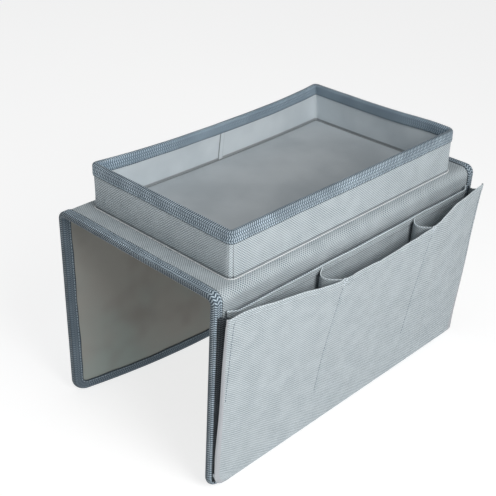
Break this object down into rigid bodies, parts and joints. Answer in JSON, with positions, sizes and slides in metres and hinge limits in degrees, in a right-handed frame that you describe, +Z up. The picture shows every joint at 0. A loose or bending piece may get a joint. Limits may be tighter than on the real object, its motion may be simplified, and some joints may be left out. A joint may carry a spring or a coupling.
{
  "type": "sofa arm tray",
  "caption": "Fabric saddle tray for a sofa arm: a shallow rimmed tray on a stiff top panel, two hinged hanging flaps, and divided pockets on the front flap.",
  "frame": {"origin": "centre of the underside of the top panel, where it rests on the sofa's arm", "axes": "+X along the arm and the tray's length, +Y towards the plain rear flap, +Z up out of the tray"},
  "size_m": [0.35, 0.224, 0.2382],
  "materials": {
    "cover_cloth": "coarse woven light blue grey polyester",
    "lining_cloth": "plain grey lining cloth",
    "tray_lining_cloth": "smooth mid grey lining cloth",
    "binding_tape": "ribbed slate blue tape",
    "stiffener_board": "pressed grey-brown fibreboard"
  },
  "bodies": {
    "saddle": {"front_fold_binding": "binding_tape", "front_fold_cover": "cover_cloth", "front_fold_lining": "lining_cloth", "left_end_binding": "binding_tape", "rear_fold_binding": "binding_tape", "rear_fold_cover": "cover_cloth", "rear_fold_lining": "lining_cloth", "right_end_binding": "binding_tape", "top_panel_board": "stiffener_board", "top_panel_cover": "cover_cloth", "top_panel_lining": "lining_cloth", "tray_base_welt": "cover_cloth", "tray_floor_board": "stiffener_board", "tray_floor_lining": "tray_lining_cloth", "tray_front_board": "stiffener_board", "tray_left_board": "stiffener_board", "tray_lining_seam_tape": "tray_lining_cloth", "tray_outer_cover": "cover_cloth", "tray_rear_board": "stiffener_board", "tray_right_board": "stiffener_board", "tray_rim_binding": "binding_tape", "tray_wall_lining": "tray_lining_cloth"},
    "front_flap": {"front_flap_cover": "cover_cloth", "front_flap_board": "stiffener_board", "front_flap_lining": "lining_cloth", "front_flap_binding": "binding_tape", "inner_pocket_panel": "cover_cloth", "inner_pocket_hem": "cover_cloth", "front_pocket_panel": "cover_cloth", "front_pocket_hem": "cover_cloth", "left_pocket_divider": "cover_cloth", "right_pocket_divider": "cover_cloth", "left_pocket_gusset": "cover_cloth", "right_pocket_gusset": "cover_cloth", "pocket_bottom_seam": "cover_cloth"},
    "rear_flap": {"rear_flap_cover": "cover_cloth", "rear_flap_board": "stiffener_board", "rear_flap_lining": "lining_cloth", "rear_flap_binding": "binding_tape"}
  },
  "joints": [
    {"name": "front_flap_fold", "type": "hinge", "parent": "saddle", "child": "front_flap", "pos_m": [0, -0.09, -0.004], "axis": [-1, 0, 0], "range_deg": [-24, 90], "deforming": ["front_fold_cover", "front_fold_lining", "front_fold_binding"]},
    {"name": "rear_flap_fold", "type": "hinge", "parent": "saddle", "child": "rear_flap", "pos_m": [0, 0.09, -0.004], "axis": [1, 0, 0], "range_deg": [-24, 90], "deforming": ["rear_fold_cover", "rear_fold_lining", "rear_fold_binding"]}
  ]
}
